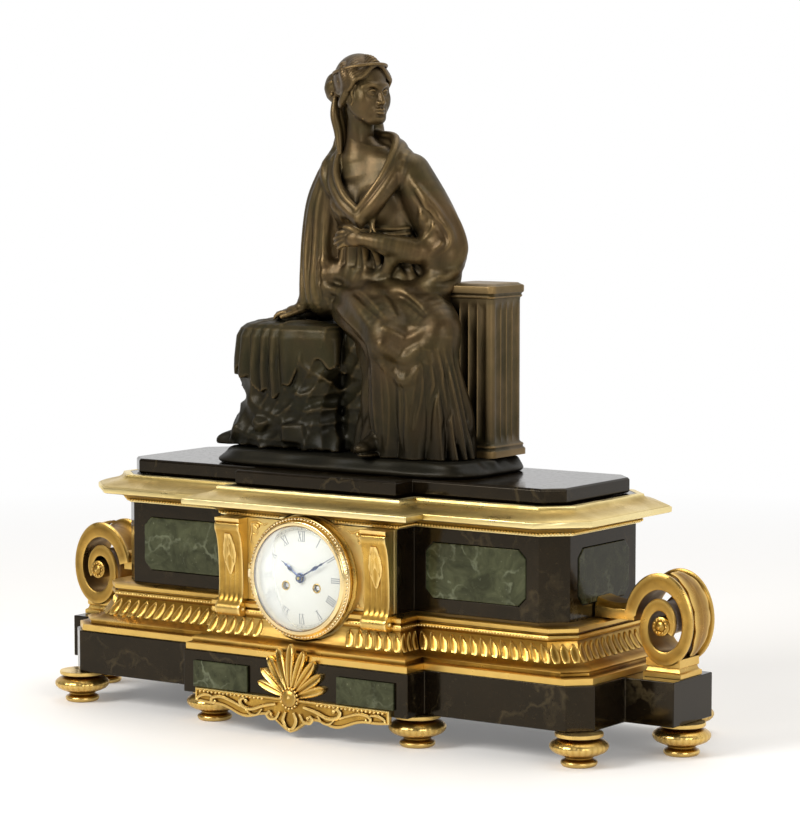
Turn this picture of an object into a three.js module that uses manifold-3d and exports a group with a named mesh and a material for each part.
// A mantel clock: a seated draped figure in dark bronze on a case of black and green marble with gilt
// mounts, and a round eight-day striking movement with a short pendulum. Millimetres, Z up, the front
// faces -Y, and X runs to the viewer's right.
import * as THREE from "three";
import { mergeVertices } from "three/addons/utils/BufferGeometryUtils.js";
import Module from "manifold-3d";

const wasm = await Module();
wasm.setup();

// Clearances shared by all pieces
const SEAT_GAP = 0.3;
const RUNNING_GAP = 0.4;
const OVERRUN = 3;
const MERGE_DISTANCE = 0.0001;

// Levels of the case, from the floor up
const FOOT_HEIGHT = 27;
const PLINTH_HEIGHT = 36;
const MOULDING_HEIGHT = 43;
const BODY_FACE_HEIGHT = 69;
const CORNICE_HEIGHT = 24;
const SLAB_HEIGHT = 13;

// Plan of the plinth
const PLINTH_MARGIN = 39;
const PLINTH_DEPTH = 188;
const PLINTH_CANT = 16;
const PLINTH_FRONT_MARGIN = 27;
const PLINTH_FRONT_PROJECTION = 24;
const END_OUTSET_WIDTH = 62;
const END_OUTSET_PROJECTION = 44;

// Plan of the body
const BODY_WIDTH = 446;
const BODY_DEPTH = 138;
const BODY_CANT = 18;
const BODY_FRONT_MARGIN = 39;
const BODY_FRONT_PROJECTION = 24;

// Feet
const FOOT_RADIUS = 24;
const FOOT_INSET = 10;
const FOOT_SIDES = 12;

// Mouldings
const CORNICE_REACH = 27;
const CORNICE_LIP_THICKNESS = 5;
const CORNICE_COVE_HEIGHT = 9;
const SLAB_SETBACK = 5;
const SLAB_EDGE = 1.6;

// Marble panels and their frames
const PANEL_THICKNESS = 3;
const PANEL_PROUD = 1;
const PANEL_BORDER = 12;
const PANEL_CORNER = 7;
const END_PANEL_MARGIN = 12;

// Movement bore and pendulum well
const BORE_RADIUS = 47;
const DIAL_LEVEL = 130;
const WELL_WIDTH = 56;
const WELL_DEPTH = 30;
const WELL_FLOOR = 8;

// Dial, drum and bezel
const DIAL_RADIUS = 44.2;
const DIAL_THICKNESS = 1.4;
const DIAL_DOME = 1.2;
const DRUM_WALL = 1.8;
const DRUM_FLANGE = 1.5;
const BEZEL_WIDTH = 6.2;
const BEZEL_HEIGHT = 7;
const GLASS_THICKNESS = 1.4;
const GLASS_DOME = 5;
const HINGE_RADIUS = 1.7;
const HINGE_LENGTH = 9;
const DIAL_STAND_OFF = 12;
const WINDING_HOLE_RADIUS = 3.1;
const ROUND_SIDES = 24;

// Dial plate and its consoles
const DIAL_PLATE_THICKNESS = 4;
const DIAL_PLATE_RING = 5;
const CONSOLE_WIDTH = 25;
const CONSOLE_DEPTH = 13;
const CONSOLE_FOOT_RADIUS = 11;
const CONSOLE_NECK = 5;

// Apron mount with its palmette, and the panels beside it
const APRON_WIDTH = 196;
const APRON_THICKNESS = 4;
const APRON_BAND = 11;
const APRON_DROP = 17;
const PALMETTE_WIDTH = 62;
const PALMETTE_RISE = 34;
const PALMETTE_THICKNESS = 8;
const PALMETTE_LEAVES = 9;
const APRON_PANEL_MARGIN = 14;
const APRON_PANEL_HEIGHT = 22;
const APRON_PANEL_THICKNESS = 2.4;

// End volutes
const VOLUTE_WIDTH = 62;
const VOLUTE_HEIGHT = 74;
const VOLUTE_THICKNESS = 38;
const VOLUTE_TAIL_HEIGHT = 16;
const VOLUTE_FOOT_WIDTH = 34;
const VOLUTE_FOOT_HEIGHT = 9;

// Movement frame
const PLATE_RADIUS = 38;
const PLATE_THICKNESS = 2;
const PLATE_SPACING = 26;
const PILLAR_RADIUS = 2;
const PILLAR_CIRCLE = 34.5;
const FRONT_PLATE_TO_DIAL = 8;
const PIVOT_RADIUS = 0.8;
const ARBOR_RADIUS = 1.1;

// Going train: modules, tooth counts and levels above the back plate
const BARREL_MODULE = 0.432;
const TRAIN_MODULE = 0.32;
const MOTION_MODULE = 0.42;
const BARREL_TEETH = 70;
const CENTRE_PINION_LEAVES = 10;
const CENTRE_TEETH = 84;
const THIRD_PINION_LEAVES = 6;
const THIRD_TEETH = 66;
const ESCAPE_PINION_LEAVES = 6;
const ESCAPE_TEETH = 36;
const CANNON_TEETH = 14;
const MINUTE_TEETH = 42;
const MINUTE_PINION_LEAVES = 9;
const HOUR_TEETH = 36;
const PIN_PINION_LEAVES = 10;
const PIN_TEETH = 42;
const HAMMER_PINS = 8;
const WHEEL_THICKNESS = 1.2;
const BARREL_HEIGHT = 12;
const BARREL_LEVEL = 3;
const CENTRE_LEVEL = 17;
const PIN_LEVEL = 19.2;
const THIRD_LEVEL = 21.4;
const ESCAPE_LEVEL = 8;
const ESCAPE_RADIUS = 8.6;
const ANCHOR_RISE = 30;
const ANCHOR_SPAN = 6.6;
const CRUTCH_LENGTH = 18;
const HAMMER_ARBOR_CIRCLE = 33;
const HAMMER_HEAD_RADIUS = 3;
const HAMMER_HEAD_LENGTH = 6;
const HAMMER_PIN_CIRCLE = 7;
const HAMMER_PIN_RADIUS = 0.5;
const WINDING_SQUARE = 3.2;

// Pendulum, bell and hammer
const PENDULUM_LENGTH = 104.8;
const PENDULUM_STAND_OFF = 8;
const ROD_RADIUS = 1;
const BOB_RADIUS = 14;
const BOB_THICKNESS = 7;
const BELL_RADIUS = 26;
const BELL_HEIGHT = 15;
const BELL_WALL = 1.6;
const BELL_STAND_OFF = 14;

// Rear ring and door
const REAR_RING_WIDTH = 7;
const REAR_RING_THICKNESS = 2.5;
const REAR_DOOR_THICKNESS = 1.6;
const STRAP_WIDTH = 9;
const STRAP_THICKNESS = 1.4;

// Hands
const HOUR_HAND_LENGTH = 23;
const MINUTE_HAND_LENGTH = 34;
const HAND_THICKNESS = 0.6;
const HAND_WIDTH = 4.6;
const HAND_SPACING = 1.4;

// Figure group
const FIGURE_HEIGHT = 336;
const FIGURE_BASE_HEIGHT = 13;
const COLUMN_WIDTH = 46;
const COLUMN_HEIGHT = 143;
const COLUMN_X = 92;
const COLUMN_Y = 24;
const COLUMN_FOOT = 9;
const COLUMN_CAP = 8;
const HEAD_HEIGHT = 58;

const gilt = new THREE.MeshStandardMaterial({ color: 0xc9a04e, roughness: 0.32, metalness: 1 });
const brass = new THREE.MeshStandardMaterial({ color: 0xc8a75a, roughness: 0.35, metalness: 1 });
const steel = new THREE.MeshStandardMaterial({ color: 0x8b8f94, roughness: 0.3, metalness: 1 });
const blued = new THREE.MeshStandardMaterial({ color: 0x1f2a44, roughness: 0.3, metalness: 1 });
const bronze = new THREE.MeshStandardMaterial({ color: 0x4a3a24, roughness: 0.5, metalness: 0.8 });
const blackMarble = new THREE.MeshStandardMaterial({ color: 0x211d19, roughness: 0.15, metalness: 0 });
const greenMarble = new THREE.MeshStandardMaterial({ color: 0x3f5446, roughness: 0.18, metalness: 0 });
const enamel = new THREE.MeshStandardMaterial({ color: 0xf4f2ea, roughness: 0.12, metalness: 0 });
const clearGlass = new THREE.MeshStandardMaterial({ color: 0xf2f6f6, roughness: 0.03, metalness: 0 });

// Derived widths
const plinthWidth = BODY_WIDTH + 2 * PLINTH_MARGIN;
const bodyFrontWidth = 2 * (BORE_RADIUS + BODY_FRONT_MARGIN);
const plinthFrontWidth = bodyFrontWidth + 2 * PLINTH_FRONT_MARGIN;
const apronPanelStart = PALMETTE_WIDTH / 2 + APRON_PANEL_MARGIN;
const apronPanelWidth = plinthFrontWidth / 2 - PANEL_BORDER - apronPanelStart;

// Derived levels
const plinthTop = FOOT_HEIGHT + PLINTH_HEIGHT;
const mouldingTop = plinthTop + MOULDING_HEIGHT;
const corniceFoot = mouldingTop + BODY_FACE_HEIGHT;
const corniceTop = corniceFoot + CORNICE_HEIGHT;
const slabTop = corniceTop + SLAB_HEIGHT;
const bodyFront = -BODY_DEPTH / 2;
const breakFront = bodyFront - BODY_FRONT_PROJECTION;
const plinthFront = -PLINTH_DEPTH / 2 - PLINTH_FRONT_PROJECTION;
const dialPlane = breakFront - DIAL_STAND_OFF;
const plateRound = BORE_RADIUS + DIAL_PLATE_RING;
const backPlatePlane = dialPlane + FRONT_PLATE_TO_DIAL + PLATE_THICKNESS + PLATE_SPACING;
const pendulumPlane = backPlatePlane + PLATE_THICKNESS + PENDULUM_STAND_OFF;

const clock = new THREE.Group();
const assembly = new THREE.Group();
clock.add(assembly);

// Solids

// Turns a closed geometry into a solid, whichever way its faces were wound.
function solid(geometry) {
  const bare = geometry.index ? geometry.toNonIndexed() : geometry.clone();
  bare.deleteAttribute("normal");
  bare.deleteAttribute("uv");
  const merged = mergeVertices(bare, MERGE_DISTANCE);
  const vertProperties = merged.attributes.position.array;
  const triVerts = new Uint32Array(merged.index.array);
  const made = new wasm.Manifold(new wasm.Mesh({ numProp: 3, vertProperties, triVerts }));
  return made.volume() < 0 ? solid(flipped(merged)) : made;
}

function flipped(geometry) {
  const index = geometry.index.array;
  const turned = Array.from(index);
  for (let i = 0; i < index.length; i += 3) {
    turned[i] = index[i + 1];
    turned[i + 1] = index[i];
  }
  return geometry.clone().setIndex(turned);
}

function geometryOf(made) {
  const mesh = made.getMesh();
  const geometry = new THREE.BufferGeometry();
  const positions = new Float32Array(mesh.numVert * 3);
  for (let i = 0; i < mesh.numVert; i += 1) {
    const start = i * mesh.numProp;
    positions.set(mesh.vertProperties.subarray(start, start + 3), i * 3);
  }
  geometry.setAttribute("position", new THREE.BufferAttribute(positions, 3));
  geometry.setIndex(new THREE.BufferAttribute(mesh.triVerts, 1));
  geometry.computeVertexNormals();
  return geometry;
}

const joined = (first, ...others) => others.reduce((sum, other) => sum.add(other), first);
const cut = (first, ...others) => others.reduce((rest, other) => rest.subtract(other), first);

// Adds one named piece to the clock or to a group inside it.
function piece(name, made, material, parent = assembly) {
  const mesh = new THREE.Mesh(geometryOf(made), material);
  mesh.name = name;
  parent.add(mesh);
  return mesh;
}

// A block standing on z, centred on x and y.
function block(width, depth, height, x = 0, y = 0, z = 0) {
  const geometry = new THREE.BoxGeometry(width, depth, height);
  return solid(geometry.translate(x, y, z + height / 2));
}

// A prism on a flat outline, rising from z.
function prism(points, height, z = 0) {
  const shape = new THREE.Shape(points.map(([x, y]) => new THREE.Vector2(x, y)));
  const geometry = new THREE.ExtrudeGeometry(shape, { depth: height, bevelEnabled: false, curveSegments: 6 });
  return solid(geometry.translate(0, 0, z));
}

// A flat outline in the XZ plane, given depth along Y from its front face.
function upright(points, depth, frontY) {
  const shape = new THREE.Shape(points.map(([x, z]) => new THREE.Vector2(x, z)));
  const geometry = new THREE.ExtrudeGeometry(shape, { depth, bevelEnabled: false });
  geometry.rotateX(Math.PI / 2);
  return solid(geometry.translate(0, frontY + depth, 0));
}

// A turned solid round a vertical axis. The profile is a list of radius and height.
function turned(profile, sides, x = 0, y = 0, z = 0) {
  const points = profile.map(([r, h]) => new THREE.Vector2(r, h));
  const geometry = new THREE.LatheGeometry(points, sides);
  geometry.rotateX(Math.PI / 2);
  return solid(geometry.translate(x, y, z));
}

const rod = (radius, length, x, y, z, sides = 10) =>
  turned([[0, 0], [radius, 0], [radius, length], [0, length]], sides, x, y, z);

// A flat ring, closed on itself.
const ring = (inner, outer, height, z, sides = ROUND_SIDES) =>
  turned([[inner, 0], [outer, 0], [outer, height], [inner, height], [inner, 0]], sides, 0, 0, z);

// Joins outlines with equal point counts, one above another, into a closed solid.
function stacked(outlines) {
  const count = outlines[0].points.length;
  const positions = outlines.flatMap(({ points, z }) => points.flatMap(([x, y]) => [x, y, z]));
  const index = [];
  for (let level = 0; level < outlines.length - 1; level += 1) {
    for (let i = 0; i < count; i += 1) {
      const next = (i + 1) % count;
      const a = level * count + i;
      const b = level * count + next;
      index.push(a, b, b + count, a, b + count, a + count);
    }
  }
  const last = (outlines.length - 1) * count;
  const flat = ({ points }) => points.map(([x, y]) => new THREE.Vector2(x, y));
  for (const [a, b, c] of THREE.ShapeUtils.triangulateShape(flat(outlines[0]), [])) {
    index.push(a, c, b);
  }
  for (const [a, b, c] of THREE.ShapeUtils.triangulateShape(flat(outlines.at(-1)), [])) {
    index.push(last + a, last + b, last + c);
  }
  const geometry = new THREE.BufferGeometry();
  geometry.setAttribute("position", new THREE.Float32BufferAttribute(positions, 3));
  geometry.setIndex(index);
  return solid(geometry);
}

// Case plans

const plinthPlan = {
  width: plinthWidth,
  depth: PLINTH_DEPTH,
  cant: PLINTH_CANT,
  front: plinthFrontWidth,
  projection: PLINTH_FRONT_PROJECTION,
};

const bodyPlan = {
  width: BODY_WIDTH,
  depth: BODY_DEPTH,
  cant: BODY_CANT,
  front: bodyFrontWidth,
  projection: BODY_FRONT_PROJECTION,
};

// The outline of a plan, moved in from all its edges. A 45 degree cant shortens as it moves in.
function outlineOf(plan, inset = 0) {
  const w = plan.width / 2 - inset;
  const d = plan.depth / 2 - inset;
  const c = plan.cant - inset * (2 - Math.SQRT2);
  const f = plan.front / 2 - inset;
  const p = plan.projection;
  return [
    [-f, -d - p], [f, -d - p], [f, -d], [w - c, -d], [w, c - d], [w, d - c],
    [w - c, d], [c - w, d], [-w, d - c], [-w, c - d], [c - w, -d], [-f, -d],
  ];
}

// A plan part of the way from one plan to another.
function planBetween(from, to, share) {
  const mixed = {};
  for (const key of Object.keys(from)) {
    mixed[key] = from[key] + (to[key] - from[key]) * share;
  }
  return mixed;
}

// Cuts shared by the case pieces

// The round bore that holds the movement, from front to back.
function movementBore(radius = BORE_RADIUS) {
  const length = PLINTH_DEPTH + 2 * (PLINTH_FRONT_PROJECTION + OVERRUN);
  const geometry = new THREE.CylinderGeometry(radius, radius, length, ROUND_SIDES);
  return solid(geometry.translate(0, 0, DIAL_LEVEL));
}

// The well in which the pendulum swings, down into the plinth.
function pendulumWell() {
  const floor = FOOT_HEIGHT + WELL_FLOOR;
  return block(WELL_WIDTH, WELL_DEPTH, DIAL_LEVEL - floor, 0, pendulumPlane, floor);
}

// Case

function makePlinth() {
  const slab = prism(outlineOf(plinthPlan), PLINTH_HEIGHT, FOOT_HEIGHT);
  const length = plinthWidth + 2 * END_OUTSET_PROJECTION;
  const outset = block(length, END_OUTSET_WIDTH, PLINTH_HEIGHT, 0, 0, FOOT_HEIGHT);
  piece("plinth", cut(joined(slab, outset), pendulumWell()), blackMarble);
}

// Shares of the foot's radius and height, from the floor up.
const footShares = [
  [0, 0], [0.54, 0], [0.62, 0.14], [0.46, 0.24], [0.94, 0.44], [0.98, 0.64], [0.66, 0.84],
  [0.8, 0.9], [0.8, 1], [0, 1],
];

function makeFeet() {
  const height = FOOT_HEIGHT - SEAT_GAP;
  const profile = footShares.map(([r, h]) => [r * FOOT_RADIUS, h * height]);
  const x = plinthWidth / 2 - FOOT_INSET;
  const y = PLINTH_DEPTH / 2 - FOOT_INSET;
  const endX = plinthWidth / 2 + END_OUTSET_PROJECTION - FOOT_INSET;
  const centreX = plinthFrontWidth / 2 - FOOT_INSET;
  const places = {
    front: [x, -y],
    back: [x, y],
    end: [endX, 0],
    centre: [centreX, plinthFront + FOOT_RADIUS + FOOT_INSET / 2],
  };
  for (const [place, [footX, footY]] of Object.entries(places)) {
    piece(`foot_${place}_left`, turned(profile, FOOT_SIDES, -footX, footY), gilt);
    piece(`foot_${place}_right`, turned(profile, FOOT_SIDES, footX, footY), gilt);
  }
}

// Shares of the way from the plinth's plan to the body's, and of the moulding's height.
const mouldingShares = [
  [0.06, 0], [0.06, 0.12], [0.2, 0.14], [0.42, 0.24], [0.6, 0.4], [0.7, 0.6],
  [0.72, 0.8], [0.64, 0.82], [0.64, 0.92], [0.76, 1],
];

function makeLowerMoulding() {
  const foot = plinthTop + SEAT_GAP;
  const height = MOULDING_HEIGHT - SEAT_GAP;
  const levels = mouldingShares.map(([share, rise]) => ({
    points: outlineOf(planBetween(plinthPlan, bodyPlan, share)),
    z: foot + rise * height,
  }));
  const core = prism(outlineOf(bodyPlan, -SEAT_GAP), MOULDING_HEIGHT + 2 * OVERRUN, foot - OVERRUN);
  const band = cut(stacked(levels), core, movementBore(plateRound + SEAT_GAP), consoleRecess());
  piece("lower_moulding", band, gilt);
}

// Each console stands on the moulding, in a recess of its own size.
function consoleRecess() {
  const x = bodyFrontWidth / 2 - CONSOLE_WIDTH / 2;
  const height = MOULDING_HEIGHT;
  const depth = CONSOLE_DEPTH + OVERRUN;
  const y = breakFront - DIAL_PLATE_THICKNESS - depth / 2;
  const z = mouldingTop - consoleOverlap;
  const width = CONSOLE_WIDTH + 2 * SEAT_GAP;
  const left = block(width, depth, height, -x, y, z);
  return joined(left, block(width, depth, height, x, y, z));
}

const consoleOverlap = MOULDING_HEIGHT / 3;

function makeBody() {
  const foot = plinthTop + SEAT_GAP;
  const core = prism(outlineOf(bodyPlan), corniceTop - foot, foot);
  const recesses = panelPlaces().map(panelRecess);
  piece("case_body", cut(core, movementBore(), pendulumWell(), ...recesses), blackMarble);
}

// Where each green panel lies: its face, its middle and its size.
function panelPlaces() {
  const wing = (BODY_WIDTH - bodyFrontWidth) / 2 - BODY_CANT;
  const x = bodyFrontWidth / 2 + wing / 2;
  const width = wing - 2 * PANEL_BORDER;
  const endWidth = BODY_DEPTH - 2 * (BODY_CANT + END_PANEL_MARGIN);
  const endX = BODY_WIDTH / 2;
  return [
    { name: "front_panel_left", x: -x, y: bodyFront, width, turn: 0 },
    { name: "front_panel_right", x, y: bodyFront, width, turn: 0 },
    { name: "end_panel_left", x: -endX, y: 0, width: endWidth, turn: -Math.PI / 2 },
    { name: "end_panel_right", x: endX, y: 0, width: endWidth, turn: Math.PI / 2 },
  ];
}

// A panel's outline with its corners cut off, in its own plane.
function panelOutline(width, height, corner) {
  const w = width / 2;
  const h = height / 2;
  return [
    [corner - w, -h], [w - corner, -h], [w, corner - h], [w, h - corner],
    [w - corner, h], [corner - w, h], [-w, h - corner], [-w, corner - h],
  ];
}

function panelSolid(place, grow, front, thickness) {
  const height = BODY_FACE_HEIGHT - 2 * PANEL_BORDER + 2 * grow;
  const points = panelOutline(place.width + 2 * grow, height, PANEL_CORNER + grow);
  const shape = new THREE.Shape(points.map(([x, z]) => new THREE.Vector2(x, z)));
  const geometry = new THREE.ExtrudeGeometry(shape, { depth: thickness, bevelEnabled: false });
  geometry.rotateX(Math.PI / 2).translate(0, thickness - front, 0);
  geometry.rotateZ(place.turn);
  return solid(geometry.translate(place.x, place.y, mouldingTop + BODY_FACE_HEIGHT / 2));
}

const panelRecess = (place) => panelSolid(place, SEAT_GAP, OVERRUN, PANEL_THICKNESS + OVERRUN);

function makePanels() {
  for (const place of panelPlaces()) {
    const thickness = PANEL_THICKNESS + PANEL_PROUD - SEAT_GAP;
    piece(place.name, panelSolid(place, 0, PANEL_PROUD, thickness), greenMarble);
  }
}

// Shares of the cornice's reach beyond the body and of its height.
function corniceLevels() {
  const foot = corniceFoot;
  const lip = foot + CORNICE_COVE_HEIGHT;
  const lipTop = lip + CORNICE_LIP_THICKNESS;
  const rise = corniceTop - lipTop;
  const coveShares = [[0.1, 0], [0.14, 0.3], [0.36, 0.62], [0.62, 0.82], [0.94, 1]];
  const topShares = [[0.9, 0.1], [0.66, 0.34], [0.34, 0.56], [0.2, 0.84], [0.2, 1]];
  const level = (share, z) => ({ points: outlineOf(bodyPlan, -share * CORNICE_REACH), z });
  return [
    ...coveShares.map(([share, up]) => level(share, foot + up * CORNICE_COVE_HEIGHT)),
    level(1, lip + CORNICE_LIP_THICKNESS / 5),
    level(1, lipTop),
    ...topShares.map(([share, up]) => level(share, lipTop + up * rise)),
  ];
}

function makeCornice() {
  const foot = corniceFoot - OVERRUN;
  const core = prism(outlineOf(bodyPlan, -SEAT_GAP), CORNICE_HEIGHT + 2 * OVERRUN, foot);
  const bore = movementBore(plateRound + SEAT_GAP);
  piece("cornice", cut(stacked(corniceLevels()), core, bore), gilt);
}

function makeTopSlab() {
  const foot = corniceTop + SEAT_GAP;
  const levels = [
    { points: outlineOf(bodyPlan, SLAB_SETBACK + SLAB_EDGE), z: foot },
    { points: outlineOf(bodyPlan, SLAB_SETBACK), z: foot + SLAB_EDGE },
    { points: outlineOf(bodyPlan, SLAB_SETBACK), z: slabTop - SLAB_EDGE },
    { points: outlineOf(bodyPlan, SLAB_SETBACK + SLAB_EDGE), z: slabTop },
  ];
  piece("top_slab", stacked(levels), blackMarble);
}

// Gilt mounts

// Gilt face of the breakfront, with the opening for the dial.
function makeDialPlate() {
  const height = BODY_FACE_HEIGHT - 2 * SEAT_GAP;
  const y = breakFront - SEAT_GAP - DIAL_PLATE_THICKNESS;
  const middle = y + DIAL_PLATE_THICKNESS / 2;
  const field = block(bodyFrontWidth, DIAL_PLATE_THICKNESS, height, 0, middle, mouldingTop + SEAT_GAP);
  const boss = disc(plateRound, DIAL_PLATE_THICKNESS, y);
  piece("dial_plate", cut(joined(field, boss), movementBore(BORE_RADIUS + SEAT_GAP)), gilt);
}

// A disc on the dial's axis, with its front face at y.
function disc(radius, thickness, y) {
  const geometry = new THREE.CylinderGeometry(radius, radius, thickness, ROUND_SIDES);
  return solid(geometry.translate(0, y + thickness / 2, DIAL_LEVEL));
}

// The console's side view: depth from the plate and height shares, a scroll foot and a curved neck.
function consoleProfile() {
  const points = [[0, 0]];
  const steps = 7;
  const foot = CONSOLE_FOOT_RADIUS;
  for (let i = 0; i <= steps; i += 1) {
    const angle = -Math.PI / 2 + (Math.PI * i) / steps;
    points.push([CONSOLE_DEPTH - foot / 2 + (foot / 2) * Math.cos(angle), foot * (1 + Math.sin(angle))]);
  }
  const height = consoleHeight();
  const neckShares = [[0.34, 0.5], [0.42, 0.7], [0.62, 0.86], [1, 0.94], [1, 1], [0, 1]];
  for (const [out, up] of neckShares) {
    points.push([CONSOLE_NECK + (CONSOLE_DEPTH - CONSOLE_NECK) * out * (up < 1 || out ? 1 : 0), height * up]);
  }
  points[points.length - 1][0] = 0;
  return points;
}

const consoleHeight = () => BODY_FACE_HEIGHT + consoleOverlap - 3 * SEAT_GAP;

function makeConsoles() {
  const x = bodyFrontWidth / 2 - CONSOLE_WIDTH / 2;
  const front = breakFront - 2 * SEAT_GAP - DIAL_PLATE_THICKNESS;
  for (const [side, place] of [["left", -x], ["right", x]]) {
    const shape = new THREE.Shape(consoleProfile().map(([out, up]) => new THREE.Vector2(out, up)));
    const geometry = new THREE.ExtrudeGeometry(shape, { depth: CONSOLE_WIDTH, bevelEnabled: false });
    geometry.rotateX(Math.PI / 2).rotateZ(-Math.PI / 2);
    geometry.translate(place + CONSOLE_WIDTH / 2, front, mouldingTop - consoleOverlap + SEAT_GAP);
    const bore = movementBore(BORE_RADIUS + SEAT_GAP);
    piece(`corner_console_${side}`, cut(solid(geometry), bore), gilt);
  }
}

// Apron mount: a border along the foot of the breakfront, a hanging scallop and a palmette
function makeApron() {
  const front = plinthFront - SEAT_GAP - APRON_THICKNESS;
  const half = APRON_WIDTH / 2;
  const top = FOOT_HEIGHT + APRON_BAND / 2;
  const steps = 16;
  const lower = [];
  for (let i = 0; i <= steps; i += 1) {
    const share = (2 * i) / steps - 1;
    const drop = APRON_DROP * (1 - Math.abs(share)) * (0.7 + 0.3 * Math.cos(share * Math.PI * 4));
    lower.push([share * half, top - APRON_BAND - drop]);
  }
  const border = upright([...lower, [half, top], [-half, top]], APRON_THICKNESS, front);
  const leaves = [];
  for (let i = 0; i < PALMETTE_LEAVES; i += 1) {
    leaves.push(palmetteLeaf((2 * i) / (PALMETTE_LEAVES - 1) - 1));
  }
  const oval = ovalPoints(PALMETTE_WIDTH / 8, PALMETTE_RISE / 4, 0, top, 12);
  const heart = upright(oval, heartDepth, heartFront);
  piece("apron_mount", joined(border, heart, ...leaves), gilt);
  makeApronPanels();
}

const heartDepth = PALMETTE_THICKNESS;
const heartFront = plinthFront - SEAT_GAP - PALMETTE_THICKNESS;

function ovalPoints(halfWidth, halfHeight, x, z, count) {
  const points = [];
  for (let i = 0; i < count; i += 1) {
    const angle = (2 * Math.PI * i) / count;
    points.push([x + halfWidth * Math.cos(angle), z + halfHeight * Math.sin(angle)]);
  }
  return points;
}

// One leaf of the palmette. Its side runs from -1 at the left to 1 at the right.
function palmetteLeaf(side) {
  const lean = side * 1.25;
  const length = PALMETTE_RISE + APRON_BAND - Math.abs(side) * PALMETTE_RISE * 0.28;
  const width = PALMETTE_WIDTH / PALMETTE_LEAVES;
  const leafShares = [[0.2, 0], [0.34, 0.35], [0.5, 0.7], [0.4, 0.92], [0, 1]];
  const outline = [
    ...leafShares.map(([half, along]) => [half * width, along * length]),
    ...leafShares.slice(0, -1).reverse().map(([half, along]) => [-half * width, along * length]),
  ];
  const turned = outline.map(([x, z]) => [
    x * Math.cos(lean) + z * Math.sin(lean),
    FOOT_HEIGHT + APRON_BAND / 2 - x * Math.sin(lean) + z * Math.cos(lean),
  ]);
  return upright(turned.reverse(), PALMETTE_THICKNESS * (0.8 - 0.2 * Math.abs(side)), leafFront(side));
}

const leafFront = (side) => plinthFront - SEAT_GAP - PALMETTE_THICKNESS * (0.8 - 0.2 * Math.abs(side));

function makeApronPanels() {
  const y = plinthFront - SEAT_GAP - APRON_PANEL_THICKNESS / 2;
  const z = FOOT_HEIGHT + APRON_BAND / 2 + SEAT_GAP;
  const x = plinthFrontWidth / 2 - apronPanelWidth / 2 - PANEL_BORDER;
  for (const [side, place] of [["left", -x], ["right", x]]) {
    const panel = block(apronPanelWidth, APRON_PANEL_THICKNESS, APRON_PANEL_HEIGHT, place, y, z);
    piece(`apron_panel_${side}`, panel, greenMarble);
  }
}

// End volutes: a band rolled into a scroll, with a foot on the outset and a tail to the body.
// The outline is drawn for a first radius of one and fitted to the volute's width and height.
function volutePoints() {
  const steps = 30;
  const start = Math.PI * 0.94;
  const sweep = Math.PI * 3.1;
  const outer = [];
  const inner = [];
  for (let i = 0; i <= steps; i += 1) {
    const share = i / steps;
    const angle = start - sweep * share;
    const radius = 1 - 0.68 * share;
    const band = 0.31 - 0.12 * share;
    outer.push([radius * Math.cos(angle), radius * Math.sin(angle)]);
    inner.push([(radius - band) * Math.cos(angle), (radius - band) * Math.sin(angle)]);
  }
  const xs = outer.map(([x]) => x);
  const zs = outer.map(([, z]) => z);
  const left = Math.min(...xs);
  const foot = Math.min(...zs);
  const wide = VOLUTE_WIDTH / (Math.max(...xs) - left);
  const high = VOLUTE_HEIGHT / (Math.max(...zs) - foot);
  const fit = ([x, z]) => [(x - left) * wide - VOLUTE_WIDTH / 2, (z - foot) * high];
  return { outline: [...outer, ...inner.reverse()].map(fit), eye: fit([0, 0]) };
}

function makeVolutes() {
  const { outline, eye } = volutePoints();
  const middle = plinthWidth / 2 + END_OUTSET_PROJECTION / 2;
  const seat = plinthTop + SEAT_GAP;
  const rise = seat + VOLUTE_FOOT_HEIGHT;
  const bodyEnd = BODY_WIDTH / 2 + PANEL_PROUD + SEAT_GAP;
  const reach = middle - VOLUTE_WIDTH * 0.38 - bodyEnd;
  const button = VOLUTE_WIDTH / 8;
  for (const [side, sign] of [["left", -1], ["right", 1]]) {
    const placed = outline.map(([x, z]) => [sign * (middle + x), rise + z]);
    const scroll = upright(placed, VOLUTE_THICKNESS, -VOLUTE_THICKNESS / 2);
    const eyePoints = ovalPoints(button, button, sign * (middle + eye[0]), rise + eye[1], 10);
    const core = upright(eyePoints, VOLUTE_THICKNESS * 1.12, -VOLUTE_THICKNESS * 0.56);
    const footHeight = VOLUTE_FOOT_HEIGHT + VOLUTE_HEIGHT / 12;
    const footX = sign * (middle + eye[0]);
    const foot = block(VOLUTE_FOOT_WIDTH, VOLUTE_THICKNESS * 0.9, footHeight, footX, 0, seat);
    const tailX = sign * (bodyEnd + reach / 2);
    const tail = block(reach, VOLUTE_THICKNESS * 0.8, VOLUTE_TAIL_HEIGHT, tailX, 0, mouldingTop + SEAT_GAP);
    piece(`end_volute_${side}`, joined(scroll, core, foot, tail), gilt);
  }
}

// Figure group

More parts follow.
